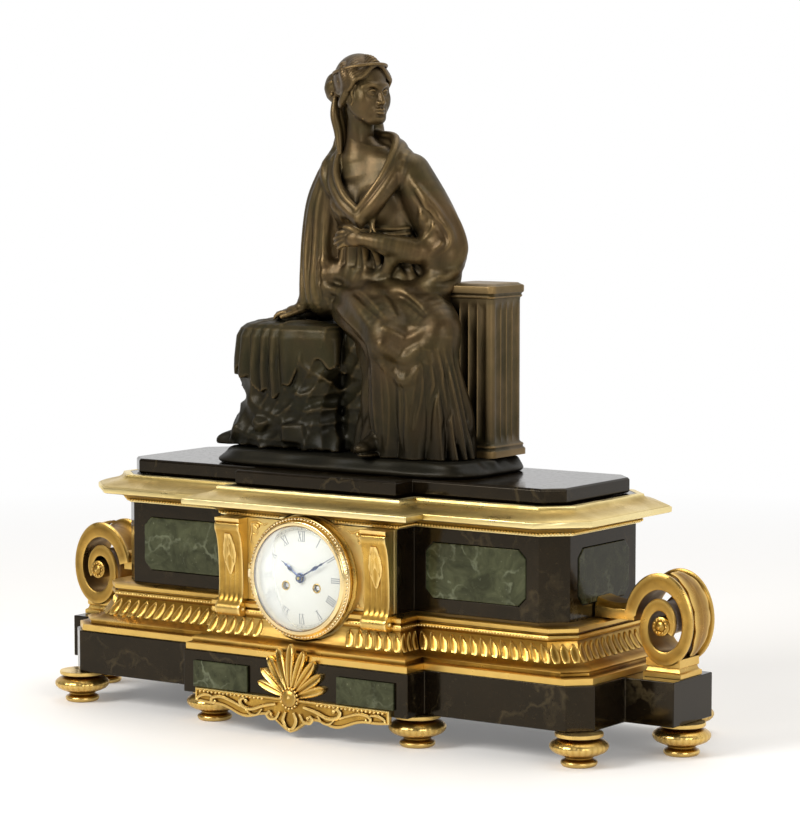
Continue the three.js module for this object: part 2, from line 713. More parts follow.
// Places on the figure as shares of its height, from the middle of the base's top: x, y and z.
const figureShares = {
  head: [-0.026, -0.012, 0.906],
  rightShoulder: [-0.118, -0.01, 0.664],
  rightElbow: [-0.158, 0.012, 0.505],
  rightHand: [-0.192, -0.04, 0.36],
  leftShoulder: [0.1, 0.014, 0.664],
  leftElbow: [0.19, 0.03, 0.5],
  leftHand: [0.02, -0.1, 0.506],
  rightHip: [-0.04, 0, 0.345],
  rightKnee: [0.13, -0.135, 0.3],
  rightAnkle: [0.085, -0.12, 0.06],
  rightToe: [0.075, -0.165, 0.025],
  leftHip: [0.05, 0.02, 0.345],
  leftKnee: [0.24, -0.075, 0.32],
  leftAnkle: [0.225, -0.09, 0.06],
  mantleRight: [-0.098, -0.05, 0.68],
  mantleMiddle: [0.026, -0.078, 0.592],
  mantleLeft: [0.116, -0.035, 0.69],
};

const figureFoot = slabTop + SEAT_GAP + FIGURE_BASE_HEIGHT;
const at = (name, dx = 0, dy = 0, dz = 0) => {
  const [x, y, z] = figureShares[name];
  const span = FIGURE_HEIGHT;
  return [(x + dx) * span, (y + dy) * span, figureFoot + (z + dz) * span];
};

// An oval outline that can lean, with folds round it. A low squareness fills its corners.
function foldedOval({ x, y, rx, ry, turn = 0, folds = 0, fold = 0, square = 1 }, grow, count) {
  const full = (value) => Math.sign(value) * Math.abs(value) ** square;
  const points = [];
  for (let i = 0; i < count; i += 1) {
    const angle = (2 * Math.PI * i) / count;
    const swell = 1 + fold * Math.cos(folds * angle);
    const px = (rx * FIGURE_HEIGHT * swell + grow) * full(Math.cos(angle));
    const py = (ry * FIGURE_HEIGHT * swell + grow) * full(Math.sin(angle));
    const cos = Math.cos(turn);
    const sin = Math.sin(turn);
    points.push([x * FIGURE_HEIGHT + px * cos - py * sin, y * FIGURE_HEIGHT + px * sin + py * cos]);
  }
  return points;
}

function draped(levelShares, grow, count) {
  const last = levelShares.length - 1;
  return stacked(levelShares.map((level, i) => ({
    points: foldedOval(level, grow, count),
    z: figureFoot + level.z * FIGURE_HEIGHT + (i === 0 ? -grow : 0) + (i === last ? grow : 0),
  })));
}

// A rounded limb through places with radii, all in millimetres.
function limb(stations, sides = 10) {
  const positions = [];
  const index = [];
  const points = stations.map(([place]) => new THREE.Vector3(...place));
  const count = stations.length;
  for (let i = 0; i < count; i += 1) {
    const along = points[Math.min(i + 1, count - 1)].clone().sub(points[Math.max(i - 1, 0)]).normalize();
    const side = new THREE.Vector3(0, 1, 0).cross(along).normalize();
    const up = along.clone().cross(side);
    for (let k = 0; k < sides; k += 1) {
      const angle = (2 * Math.PI * k) / sides;
      const radius = stations[i][1];
      const p = points[i].clone();
      p.addScaledVector(side, radius * Math.cos(angle)).addScaledVector(up, radius * Math.sin(angle));
      positions.push(p.x, p.y, p.z);
      if (i > 0) {
        const a = (i - 1) * sides + k;
        const b = (i - 1) * sides + ((k + 1) % sides);
        index.push(a, b, b + sides, a, b + sides, a + sides);
      }
    }
  }
  for (const [end, neighbour] of [[0, 1], [count - 1, count - 2]]) {
    const out = points[end].clone().sub(points[neighbour]).normalize();
    const tip = points[end].clone().addScaledVector(out, stations[end][1] * 0.6);
    const tipIndex = positions.length / 3;
    positions.push(tip.x, tip.y, tip.z);
    for (let k = 0; k < sides; k += 1) {
      const a = end * sides + k;
      const b = end * sides + ((k + 1) % sides);
      index.push(...(end === 0 ? [b, a, tipIndex] : [a, b, tipIndex]));
    }
  }
  const geometry = new THREE.BufferGeometry();
  geometry.setAttribute("position", new THREE.Float32BufferAttribute(positions, 3));
  geometry.setIndex(index);
  return solid(geometry);
}

const baseLevelShares = [
  { x: -0.02, y: 0, rx: 0.392, ry: 0.178, z: -1, folds: 5, fold: 0.012, square: 0.36 },
  { x: -0.02, y: 0, rx: 0.4, ry: 0.182, z: -0.7, folds: 5, fold: 0.02, square: 0.36 },
  { x: -0.02, y: 0, rx: 0.384, ry: 0.17, z: -0.35, folds: 7, fold: 0.02, square: 0.4 },
  { x: -0.02, y: 0, rx: 0.365, ry: 0.16, z: 0, folds: 7, fold: 0.02, square: 0.4 },
];

function makeFigureBase() {
  const levels = baseLevelShares.map((level) => ({
    points: foldedOval(level, 0, 28),
    z: figureFoot + level.z * FIGURE_BASE_HEIGHT,
  }));
  piece("figure_base", stacked(levels), bronze);
}

const blockLevelShares = [
  { x: -0.222, y: -0.01, rx: 0.19, ry: 0.125, z: 0.001, folds: 7, fold: 0.02, square: 0.5 },
  { x: -0.222, y: -0.01, rx: 0.178, ry: 0.118, z: 0.06, folds: 7, fold: 0.04, square: 0.5 },
  { x: -0.215, y: -0.006, rx: 0.152, ry: 0.11, z: 0.13, folds: 7, fold: 0.05, square: 0.5 },
  { x: -0.22, y: -0.004, rx: 0.172, ry: 0.118, z: 0.19, folds: 6, fold: 0.05, square: 0.45 },
  { x: -0.216, y: 0, rx: 0.17, ry: 0.118, z: 0.29, folds: 6, fold: 0.03, square: 0.4 },
  { x: -0.205, y: 0, rx: 0.155, ry: 0.104, z: 0.318, folds: 6, fold: 0.02, square: 0.4 },
];

const seatLevelShares = [
  { x: 0.02, y: 0.035, rx: 0.16, ry: 0.12, z: 0.001 },
  { x: 0.02, y: 0.035, rx: 0.15, ry: 0.11, z: 0.15 },
  { x: 0.01, y: 0.035, rx: 0.16, ry: 0.115, z: 0.27 },
  { x: 0, y: 0.035, rx: 0.14, ry: 0.1, z: 0.3 },
];

function columnSolid(grow) {
  const w = COLUMN_WIDTH / 2 + grow;
  const flare = COLUMN_WIDTH / 12;
  const square = (half) => squarePoints(half).map(([x, y]) => [x + COLUMN_X, y + COLUMN_Y]);
  const top = figureFoot + COLUMN_HEIGHT;
  return stacked([
    { points: square(w + flare), z: figureFoot + SEAT_GAP - grow },
    { points: square(w + flare), z: figureFoot + COLUMN_FOOT },
    { points: square(w), z: figureFoot + COLUMN_FOOT * 1.4 },
    { points: square(w), z: top - COLUMN_CAP * 1.4 },
    { points: square(w + flare * 0.7), z: top - COLUMN_CAP },
    { points: square(w + flare * 0.7), z: top - COLUMN_CAP * 0.4 },
    { points: square(w - flare * 0.6), z: top + grow },
  ]);
}

function squarePoints(half) {
  const c = half * 0.25;
  return [
    [c - half, -half], [half - c, -half], [half, c - half], [half, half - c],
    [half - c, half], [c - half, half], [-half, half - c], [-half, c - half],
  ];
}

const skirtLevelShares = [
  { x: 0.135, y: -0.03, rx: 0.19, ry: 0.115, turn: -0.2, z: 0.003, folds: 11, fold: 0.06 },
  { x: 0.14, y: -0.035, rx: 0.17, ry: 0.105, turn: -0.24, z: 0.1, folds: 11, fold: 0.07 },
  { x: 0.14, y: -0.045, rx: 0.165, ry: 0.1, turn: -0.3, z: 0.2, folds: 11, fold: 0.05 },
  { x: 0.12, y: -0.05, rx: 0.19, ry: 0.112, turn: -0.36, z: 0.27, folds: 9, fold: 0.02 },
  { x: 0.09, y: -0.035, rx: 0.205, ry: 0.112, turn: -0.38, z: 0.325, folds: 9, fold: 0.012 },
  { x: 0.045, y: -0.005, rx: 0.195, ry: 0.105, turn: -0.34, z: 0.372, folds: 9, fold: 0.015 },
  { x: 0.01, y: 0.012, rx: 0.165, ry: 0.092, turn: -0.2, z: 0.415, folds: 9, fold: 0.03 },
  { x: 0, y: 0.012, rx: 0.13, ry: 0.075, z: 0.45, folds: 9, fold: 0.03 },
];

// The torso in its mantle, which gathers at the waist and over both arms.
const torsoLevelShares = [
  { x: 0.006, y: 0.014, rx: 0.2, ry: 0.076, z: 0.36, folds: 7, fold: 0.03 },
  { x: 0.006, y: 0.012, rx: 0.18, ry: 0.074, z: 0.42, folds: 7, fold: 0.04 },
  { x: 0.006, y: 0.012, rx: 0.158, ry: 0.07, z: 0.48, folds: 7, fold: 0.05 },
  { x: 0.002, y: 0.004, rx: 0.134, ry: 0.068, z: 0.54, folds: 7, fold: 0.04 },
  { x: -0.006, y: -0.002, rx: 0.118, ry: 0.074, z: 0.6, folds: 7, fold: 0.02 },
  { x: -0.012, y: 0, rx: 0.13, ry: 0.068, z: 0.655, folds: 7, fold: 0.01 },
  { x: -0.014, y: 0.004, rx: 0.124, ry: 0.058, z: 0.692 },
  { x: -0.018, y: 0.004, rx: 0.086, ry: 0.05, z: 0.725 },
  { x: -0.024, y: 0.002, rx: 0.05, ry: 0.042, z: 0.76 },
];

function seatSolid(grow) {
  return joined(draped(blockLevelShares, grow, 22), draped(seatLevelShares, grow, 14));
}

// The skirt over the lap: two thighs lie on the seat, the shins and one shoe show at the front.
function skirtSolid(grow) {
  const leg = (from, knee, ankle) => limb([
    [at(from), thick(0.056) + grow], [at(knee, -0.02), thick(0.052) + grow],
    [at(knee, 0, 0, -0.03), thick(0.046) + grow], [at(ankle), thick(0.034) + grow],
  ], 8);
  const shoe = limb([[at("rightAnkle"), thick(0.02) + grow], [at("rightToe"), thick(0.015) + grow]], 8);
  return joined(
    draped(skirtLevelShares, grow, 28), leg("rightHip", "rightKnee", "rightAnkle"),
    leg("leftHip", "leftKnee", "leftAnkle"), shoe);
}

// The torso in its mantle, with the roll of cloth that crosses the breast in a V.
function torsoSolid(grow) {
  const roll = limb([
    [at("mantleRight"), thick(0.018) + grow], [at("mantleMiddle"), thick(0.02) + grow],
    [at("mantleLeft"), thick(0.018) + grow],
  ], 8);
  return joined(draped(torsoLevelShares, grow, 16), roll);
}

function makeFigureBody() {
  const wideColumn = columnSolid(SEAT_GAP);
  const wideSeat = seatSolid(SEAT_GAP);
  const wideSkirt = skirtSolid(SEAT_GAP);
  const wideTorso = torsoSolid(SEAT_GAP);
  piece("column", columnSolid(0), bronze);
  piece("seat_block", cut(seatSolid(0), wideColumn), bronze);
  piece("skirt", cut(skirtSolid(0), wideColumn, wideSeat), bronze);
  piece("torso", cut(torsoSolid(0), wideSkirt, wideColumn), bronze);
  const around = [wideColumn, wideSeat, wideSkirt, wideTorso];
  piece("right_arm", cut(rightArm(), ...around), bronze);
  piece("left_arm", cut(leftArm(), ...around), bronze);
  piece("head", cut(joined(headSolid(), hairSolid()), wideTorso), bronze);
}

const thick = (share) => share * FIGURE_HEIGHT;

function rightArm() {
  return joined(
    limb([
      [at("rightShoulder", 0.02, 0, 0.012), thick(0.036)],
      [at("rightShoulder", -0.01, 0, -0.04), thick(0.042)],
      [at("rightElbow", 0.006, 0, 0.04), thick(0.04)], [at("rightElbow"), thick(0.036)],
      [at("rightHand", 0.018, 0.02, 0.05), thick(0.028)], [at("rightHand"), thick(0.02)],
    ]),
    limb([[at("rightHand"), thick(0.019)], [at("rightHand", -0.038, -0.014, -0.014), thick(0.015)]], 8),
  );
}

function leftArm() {
  return joined(
    limb([
      [at("leftShoulder", -0.02, 0, 0.012), thick(0.036)], [at("leftShoulder", 0.02, 0, -0.04), thick(0.044)],
      [at("leftElbow", -0.012, 0, 0.04), thick(0.044)], [at("leftElbow"), thick(0.04)],
    ]),
    limb([
      [at("leftElbow"), thick(0.038)], [at("leftElbow", -0.06, -0.05, 0.004), thick(0.033)],
      [at("leftHand", 0.034, 0.018), thick(0.023)], [at("leftHand"), thick(0.02)],
      [at("leftHand", -0.045, -0.006, -0.012), thick(0.014)],
    ]),
  );
}

// Head levels: height from the chin up, half width and half depth as shares of the head's height, and
// how far the level's middle lies behind the axis.
const headLevelShares = [
  { up: -0.62, wide: 0.17, deep: 0.18, back: 0.12 },
  { up: -0.1, wide: 0.15, deep: 0.165, back: 0.1 },
  { up: 0, wide: 0.14, deep: 0.24, back: 0 },
  { up: 0.08, wide: 0.19, deep: 0.32, back: -0.02 },
  { up: 0.2, wide: 0.25, deep: 0.36, back: 0.01 },
  { up: 0.34, wide: 0.29, deep: 0.385, back: 0.03 },
  { up: 0.5, wide: 0.32, deep: 0.4, back: 0.05 },
  { up: 0.66, wide: 0.33, deep: 0.405, back: 0.04 },
  { up: 0.8, wide: 0.3, deep: 0.37, back: 0.04 },
  { up: 0.9, wide: 0.22, deep: 0.28, back: 0.04 },
  { up: 0.965, wide: 0.08, deep: 0.1, back: 0.04 },
];

// The nose stands out of the face's front between these heights.
const noseShares = { 0.2: 0.05, 0.34: 0.13, 0.5: 0.04 };
const HEAD_TURN = 0.95;

function headSolid() {
  const count = 18;
  const [x, y, z] = at("head");
  const chin = z - HEAD_HEIGHT / 2;
  return stacked(headLevelShares.map((level) => {
    const points = [];
    for (let k = 0; k < count; k += 1) {
      const angle = (2 * Math.PI * k) / count - Math.PI / 2;
      const nose = k === 0 ? (noseShares[level.up] ?? 0) * HEAD_HEIGHT : 0;
      const px = level.wide * HEAD_HEIGHT * Math.cos(angle);
      const py = (level.deep * HEAD_HEIGHT + nose) * Math.sin(angle) + level.back * HEAD_HEIGHT;
      const cos = Math.cos(HEAD_TURN);
      const sin = Math.sin(HEAD_TURN);
      points.push([x + px * cos - py * sin, y + px * sin + py * cos]);
    }
    return { points, z: chin + level.up * HEAD_HEIGHT };
  }));
}

// Dressed hair: a cap over the crown, a knot behind and locks down the neck.
function hairSolid() {
  const [x, y, z] = at("head");
  const chin = z - HEAD_HEIGHT / 2;
  const back = (share) => {
    const distance = share * HEAD_HEIGHT;
    return [x - Math.sin(HEAD_TURN) * distance, y + Math.cos(HEAD_TURN) * distance];
  };
  const [capX, capY] = back(0.1);
  const [knotX, knotY] = back(0.46);
  const ball = (radius, bx, by, bz, flat) => {
    const geometry = new THREE.SphereGeometry(radius, 10, 7);
    geometry.scale(flat, 1, 1).rotateZ(HEAD_TURN);
    return solid(geometry.translate(bx, by, bz));
  };
  const cap = ball(HEAD_HEIGHT * 0.46, capX, capY, chin + HEAD_HEIGHT * 0.56, 0.9);
  const knot = ball(HEAD_HEIGHT * 0.27, knotX, knotY, chin + HEAD_HEIGHT * 0.5, 1);
  const nape = limb([
    [[...back(0.44), chin + HEAD_HEIGHT * 0.42], HEAD_HEIGHT * 0.18],
    [[...back(0.36), chin], HEAD_HEIGHT * 0.17],
    [[...back(0.3), chin - HEAD_HEIGHT * 0.4], HEAD_HEIGHT * 0.2],
  ], 8);
  const face = block(HEAD_HEIGHT * 2, HEAD_HEIGHT, HEAD_HEIGHT * 0.72 + OVERRUN, 0, -HEAD_HEIGHT / 2, 0);
  const faceCut = geometryOf(face);
  faceCut.translate(0, -HEAD_HEIGHT * 0.06, chin - OVERRUN - figureFoot);
  faceCut.rotateZ(HEAD_TURN).translate(x, y, figureFoot);
  return joined(cut(joined(cap, knot), solid(faceCut)), nape);
}

// Movement. Its own frame has the arbors along z: z rises from the back plate's inner face to the dial.

const movement = new THREE.Group();
movement.rotation.x = Math.PI / 2;
movement.position.set(0, backPlatePlane, DIAL_LEVEL);
assembly.add(movement);

const fitted = (name, made, material) => piece(name, made, material, movement);

function polar(distance, degrees, from = [0, 0]) {
  const angle = (degrees * Math.PI) / 180;
  return [from[0] + distance * Math.cos(angle), from[1] + distance * Math.sin(angle)];
}

const pitchRadius = (teeth, module) => (teeth * module) / 2;
const hourModule = (MOTION_MODULE * (CANNON_TEETH + MINUTE_TEETH)) / (MINUTE_PINION_LEAVES + HOUR_TEETH);

// Arbor places
const centrePlace = [0, 0];
const barrelDistance = pitchRadius(BARREL_TEETH + CENTRE_PINION_LEAVES, BARREL_MODULE);
const goingPlace = polar(barrelDistance, -25.7);
const strikePlace = polar(barrelDistance, -154.3);
const thirdPlace = polar(pitchRadius(CENTRE_TEETH + THIRD_PINION_LEAVES, TRAIN_MODULE), 126.2);
const escapeDistance = pitchRadius(THIRD_TEETH + ESCAPE_PINION_LEAVES, TRAIN_MODULE);
const escapePlace = [0, thirdPlace[1] + Math.sqrt(escapeDistance ** 2 - thirdPlace[0] ** 2)];
const anchorPlace = [0, ANCHOR_RISE];
const pinPlace = polar(pitchRadius(BARREL_TEETH + PIN_PINION_LEAVES, BARREL_MODULE), 119.1, strikePlace);
const hammerPlace = polar(HAMMER_ARBOR_CIRCLE, 183.5);
const minutePlace = polar(pitchRadius(CANNON_TEETH + MINUTE_TEETH, MOTION_MODULE), 90);
const bellPlace = [BELL_RADIUS * 0.6, -BELL_RADIUS * 0.15];
const pillarPlaces = [48, 132, 228, 312].map((degrees) => polar(PILLAR_CIRCLE, degrees));

const frontFace = PLATE_SPACING + PLATE_THICKNESS;
const dialFace = frontFace + FRONT_PLATE_TO_DIAL;
const motionLevel = frontFace + 2.5 * RUNNING_GAP;
const hourLevel = motionLevel + WHEEL_THICKNESS + 3 * RUNNING_GAP;
const hourHandLevel = dialFace + DIAL_DOME + HAND_SPACING;
const minuteHandLevel = hourHandLevel + HAND_THICKNESS + HAND_SPACING;
const pipeInner = ARBOR_RADIUS + RUNNING_GAP;
const pipeOuter = pipeInner + 2 * RUNNING_GAP;

// A toothed disc whose first tooth points along its phase. Tooth tips and roots follow the module.
function toothed(teeth, module, thickness, [x, y], z, phase = 0) {
  const tip = pitchRadius(teeth, module) + 0.8 * module;
  const root = pitchRadius(teeth, module) - 1.25 * module;
  const points = [];
  for (let i = 0; i < teeth; i += 1) {
    const angle = phase + (2 * Math.PI * i) / teeth;
    const between = angle + Math.PI / teeth;
    points.push([x + tip * Math.cos(angle), y + tip * Math.sin(angle)]);
    points.push([x + root * Math.cos(between), y + root * Math.sin(between)]);
  }
  return prism(points, thickness, z);
}

// The phase at which a wheel's space meets the tooth of a wheel already placed.
function meshPhase(teethA, placeA, phaseA, teethB, placeB) {
  const line = Math.atan2(placeB[1] - placeA[1], placeB[0] - placeA[0]);
  const toothShare = ((line - phaseA) * teethA) / (2 * Math.PI);
  return line + Math.PI - ((0.5 - toothShare) * 2 * Math.PI) / teethB;
}

// A shaft of steps, each a radius with the level where it ends. It starts at the given level.
function shaft([x, y], start, steps, sides = 8) {
  const profile = [[0, start]];
  let level = start;
  for (const [radius, end] of steps) {
    profile.push([radius, level], [radius, end]);
    level = end;
  }
  profile.push([0, level]);
  return turned(profile, sides, x, y);
}

const pivotFoot = RUNNING_GAP - PLATE_THICKNESS;
const pivotTop = frontFace - RUNNING_GAP;
const shoulder = PLATE_SPACING - RUNNING_GAP;

// An arbor between the plates. A pinion cut into it narrows it to its root between two levels.
function arbor(place, pinion) {
  const narrow = pinion ? [[ARBOR_RADIUS, pinion.from], [pinion.root, pinion.to]] : [];
  return shaft(place, pivotFoot, [
    [PIVOT_RADIUS, RUNNING_GAP], ...narrow, [ARBOR_RADIUS, shoulder], [PIVOT_RADIUS, pivotTop],
  ]);
}

const rootRadius = (teeth, module) => pitchRadius(teeth, module) - 1.25 * module;

// A hole right through a plate.
function hole([x, y], radius, from, to) {
  return turned([[0, from - OVERRUN], [radius, from - OVERRUN], [radius, to + OVERRUN], [0, to + OVERRUN]],
    8, x, y);
}

function makePlates() {
  const pivotHole = PIVOT_RADIUS + RUNNING_GAP;
  const places = [goingPlace, strikePlace, thirdPlace, escapePlace, anchorPlace, pinPlace, hammerPlace];
  const backHoles = [centrePlace, ...places].map((place) => hole(place, pivotHole, -PLATE_THICKNESS, 0));
  const frontHoles = [minutePlace, ...places.slice(2)].map(
    (place) => hole(place, pivotHole, PLATE_SPACING, frontFace));
  const squareHole = WINDING_SQUARE / 2 + RUNNING_GAP;
  for (const place of [goingPlace, strikePlace]) {
    frontHoles.push(hole(place, squareHole, PLATE_SPACING, frontFace));
  }
  frontHoles.push(hole(centrePlace, pipeInner, PLATE_SPACING, frontFace));
  const plate = (z) => turned(
    [[0, 0], [PLATE_RADIUS, 0], [PLATE_RADIUS, PLATE_THICKNESS], [0, PLATE_THICKNESS]], 24, 0, 0, z);
  const pillars = pillarPlaces.map((place) => shaft(place, -PLATE_THICKNESS / 2, [
    [PILLAR_RADIUS * 1.3, 2 * PILLAR_RADIUS], [PILLAR_RADIUS, PLATE_SPACING - SEAT_GAP],
  ]));
  fitted("back_plate", cut(joined(plate(-PLATE_THICKNESS), ...pillars), ...backHoles), brass);
  fitted("front_plate", cut(plate(PLATE_SPACING), ...frontHoles), brass);
}

// Phases, worked outwards from the centre wheel
const goingPhase = meshPhase(CENTRE_PINION_LEAVES, centrePlace, 0, BARREL_TEETH, goingPlace);
const thirdPinionPhase = meshPhase(CENTRE_TEETH, centrePlace, 0, THIRD_PINION_LEAVES, thirdPlace);
const escapePinionPhase = meshPhase(THIRD_TEETH, thirdPlace, 0, ESCAPE_PINION_LEAVES, escapePlace);
const pinPinionPhase = meshPhase(BARREL_TEETH, strikePlace, 0, PIN_PINION_LEAVES, pinPlace);
const minutePhase = meshPhase(CANNON_TEETH, centrePlace, 0, MINUTE_TEETH, minutePlace);
const hourPhase = meshPhase(MINUTE_PINION_LEAVES, minutePlace, 0, HOUR_TEETH, centrePlace);

// A spring barrel: its toothed rim lies at one end of the drum.
function barrel(place, rimLevel, phase) {
  const radius = pitchRadius(BARREL_TEETH, BARREL_MODULE);
  const body = shaft(place, BARREL_LEVEL, [[radius * 0.87, BARREL_LEVEL + BARREL_HEIGHT]], 14);
  const rim = toothed(BARREL_TEETH, BARREL_MODULE, BARREL_HEIGHT / 6, place, rimLevel, phase);
  const bore = hole(place, WINDING_SQUARE / 2 + RUNNING_GAP, BARREL_LEVEL, BARREL_LEVEL + BARREL_HEIGHT);
  return cut(joined(body, rim), bore);
}

// A barrel arbor, ending in the square that takes the key.
function windingArbor([x, y]) {
  const round = WINDING_SQUARE / 2;
  const stem = shaft([x, y], pivotFoot, [[PIVOT_RADIUS, RUNNING_GAP], [round, frontFace + SEAT_GAP]], 12);
  const height = dialFace - DIAL_THICKNESS / 2 - frontFace;
  return joined(stem, block(WINDING_SQUARE, WINDING_SQUARE, height, x, y, frontFace));
}

function makeBarrels() {
  fitted("going_barrel", barrel(goingPlace, BARREL_LEVEL + SEAT_GAP, goingPhase), brass);
  const upper = BARREL_LEVEL + BARREL_HEIGHT * (5 / 6);
  fitted("strike_barrel", barrel(strikePlace, upper, 0), brass);
  fitted("going_arbor", windingArbor(goingPlace), steel);
  fitted("strike_arbor", windingArbor(strikePlace), steel);
}

function makeGoingTrain() {
  const pinionHeight = WHEEL_THICKNESS * 2.5;
  const centre = shaft(centrePlace, pivotFoot, [
    [PIVOT_RADIUS, RUNNING_GAP], [ARBOR_RADIUS, minuteHandLevel + 2 * HAND_THICKNESS],
  ]);
  fitted("centre_wheel", joined(
    centre,
    toothed(CENTRE_PINION_LEAVES, BARREL_MODULE, pinionHeight, centrePlace, BARREL_LEVEL),
    toothed(CENTRE_TEETH, TRAIN_MODULE, WHEEL_THICKNESS, centrePlace, CENTRE_LEVEL),
    toothed(CANNON_TEETH, MOTION_MODULE, WHEEL_THICKNESS, centrePlace, motionLevel),
  ), brass);
  const thirdPinion = { from: CENTRE_LEVEL - WHEEL_THICKNESS / 2, to: CENTRE_LEVEL + 2 * WHEEL_THICKNESS };
  const thirdRoot = rootRadius(THIRD_PINION_LEAVES, TRAIN_MODULE);
  fitted("third_wheel", joined(
    arbor(thirdPlace, { ...thirdPinion, root: thirdRoot }),
    toothed(THIRD_PINION_LEAVES, TRAIN_MODULE, thirdPinion.to - thirdPinion.from, thirdPlace,
      thirdPinion.from, thirdPinionPhase),
    toothed(THIRD_TEETH, TRAIN_MODULE, WHEEL_THICKNESS, thirdPlace, THIRD_LEVEL),
  ), brass);
  const escapePinion = { from: THIRD_LEVEL - WHEEL_THICKNESS / 2, to: THIRD_LEVEL + 2 * WHEEL_THICKNESS };
  const escapeRoot = rootRadius(ESCAPE_PINION_LEAVES, TRAIN_MODULE);
  fitted("escape_wheel", joined(
    arbor(escapePlace, { ...escapePinion, root: escapeRoot }),
    toothed(ESCAPE_PINION_LEAVES, TRAIN_MODULE, escapePinion.to - escapePinion.from, escapePlace,
      escapePinion.from, escapePinionPhase),
    escapeDisc(),
  ), brass);
}

// Escape wheel: pointed teeth leaning one way, with deep spaces.
function escapeDisc() {
  const [x, y] = escapePlace;
  const points = [];
  for (let i = 0; i < ESCAPE_TEETH; i += 1) {
    const angle = (2 * Math.PI * i) / ESCAPE_TEETH;
    const root = ESCAPE_RADIUS * 0.86;
    const foot = angle + (Math.PI * 1.2) / ESCAPE_TEETH;
    points.push([x + ESCAPE_RADIUS * Math.cos(angle), y + ESCAPE_RADIUS * Math.sin(angle)]);
    points.push([x + root * Math.cos(foot), y + root * Math.sin(foot)]);
  }
  return prism(points, WHEEL_THICKNESS, ESCAPE_LEVEL);
}

// The anchor with its arbor, and the crutch behind the back plate.
function makeAnchor() {
  const [x, y] = anchorPlace;
  const drop = ANCHOR_SPAN * 0.52;
  const waist = ANCHOR_SPAN * 0.28;
  const bow = [
    [x - ANCHOR_SPAN, y - drop], [x - waist * 2.2, y - drop * 0.36], [x - waist, y + waist],
    [x + waist, y + waist], [x + waist * 2.2, y - drop * 0.36], [x + ANCHOR_SPAN, y - drop],
    [x + ANCHOR_SPAN * 0.84, y - drop], [x + waist, y - waist * 0.7], [x - waist, y - waist * 0.7],
    [x - ANCHOR_SPAN * 0.84, y - drop],
  ];
  const crutchBack = -PLATE_THICKNESS - PENDULUM_STAND_OFF + ROD_RADIUS + 2 * RUNNING_GAP;
  const crutchLevel = crutchBack / 2 - PLATE_THICKNESS / 2 - RUNNING_GAP / 2;
  const crutchY = y - CRUTCH_LENGTH / 2;
  const crutchArm = block(ARBOR_RADIUS * 2, CRUTCH_LENGTH, WHEEL_THICKNESS, x, crutchY, crutchLevel);
  const pinFoot = y - CRUTCH_LENGTH + ARBOR_RADIUS;
  const pin = shaft([x, pinFoot], crutchBack, [[PIVOT_RADIUS, crutchLevel + WHEEL_THICKNESS / 2]]);
  const axle = shaft([x, y], crutchLevel, [
    [PIVOT_RADIUS, RUNNING_GAP], [ARBOR_RADIUS, shoulder], [PIVOT_RADIUS, pivotTop],
  ]);
  fitted("anchor", joined(axle, prism(bow, WHEEL_THICKNESS, ESCAPE_LEVEL), crutchArm, pin), steel);
}

// Suspension cock on the back plate, over the top of the pendulum.
function makeCock() {
  const gap = ARBOR_RADIUS + 2 * RUNNING_GAP;
  const height = PLATE_RADIUS - ANCHOR_RISE - gap;
  const middle = ANCHOR_RISE + gap + height / 2;
  const depth = PENDULUM_STAND_OFF + 2 * ROD_RADIUS;
  const foot = -PLATE_THICKNESS - SEAT_GAP - depth;
  const width = BOB_RADIUS * 0.8;
  const bracket = block(width, height, depth, 0, middle, foot);
  fitted("suspension_cock", bracket, brass);
}

function makePendulum() {
  const level = -PLATE_THICKNESS - PENDULUM_STAND_OFF;
  const rodTop = ANCHOR_RISE + ROD_RADIUS / 2;
  const nutDrop = PENDULUM_LENGTH + BOB_RADIUS * 1.35;
  const stem = new THREE.CylinderGeometry(ROD_RADIUS, ROD_RADIUS, nutDrop + ROD_RADIUS / 2, 10);
  stem.translate(0, rodTop - (nutDrop + ROD_RADIUS / 2) / 2, level);
  const nut = new THREE.CylinderGeometry(ROD_RADIUS * 2.4, ROD_RADIUS * 2.4, ROD_RADIUS * 2, 12);
  nut.translate(0, ANCHOR_RISE - nutDrop + 2 * ROD_RADIUS, level);
  fitted("pendulum", joined(solid(stem), solid(nut)), steel);
  const half = BOB_THICKNESS / 2;
  const lens = turned([
    [0, -half], [BOB_RADIUS * 0.7, -half * 0.82], [BOB_RADIUS, -half * 0.2], [BOB_RADIUS, half * 0.2],
    [BOB_RADIUS * 0.7, half * 0.82], [0, half],
  ], 16, 0, ANCHOR_RISE - PENDULUM_LENGTH, level);
  const slot = new THREE.CylinderGeometry(ROD_RADIUS + SEAT_GAP, ROD_RADIUS + SEAT_GAP, 3 * BOB_RADIUS, 10);
  slot.translate(0, ANCHOR_RISE - PENDULUM_LENGTH, level);
  fitted("pendulum_bob", cut(lens, solid(slot)), brass);
}

// The pin wheel lifts the hammer's tail.
function makeStrikeTrain() {
  const pinionFoot = BARREL_LEVEL + BARREL_HEIGHT * (5 / 6) - SEAT_GAP;
  const pins = [];
  for (let i = 0; i < HAMMER_PINS; i += 1) {
    const place = polar(HAMMER_PIN_CIRCLE, (360 * i) / HAMMER_PINS, pinPlace);
    const foot = PIN_LEVEL - WHEEL_THICKNESS * 2;
    pins.push(shaft(place, foot, [[HAMMER_PIN_RADIUS, PIN_LEVEL + WHEEL_THICKNESS / 2]], 6));
  }
  fitted("pin_wheel", joined(
    arbor(pinPlace),
    toothed(PIN_PINION_LEAVES, BARREL_MODULE, BARREL_HEIGHT / 6 + 2 * SEAT_GAP, pinPlace, pinionFoot, pinPinionPhase),
    toothed(PIN_TEETH, BARREL_MODULE, WHEEL_THICKNESS, pinPlace, PIN_LEVEL),
    ...pins,
  ), brass);
}

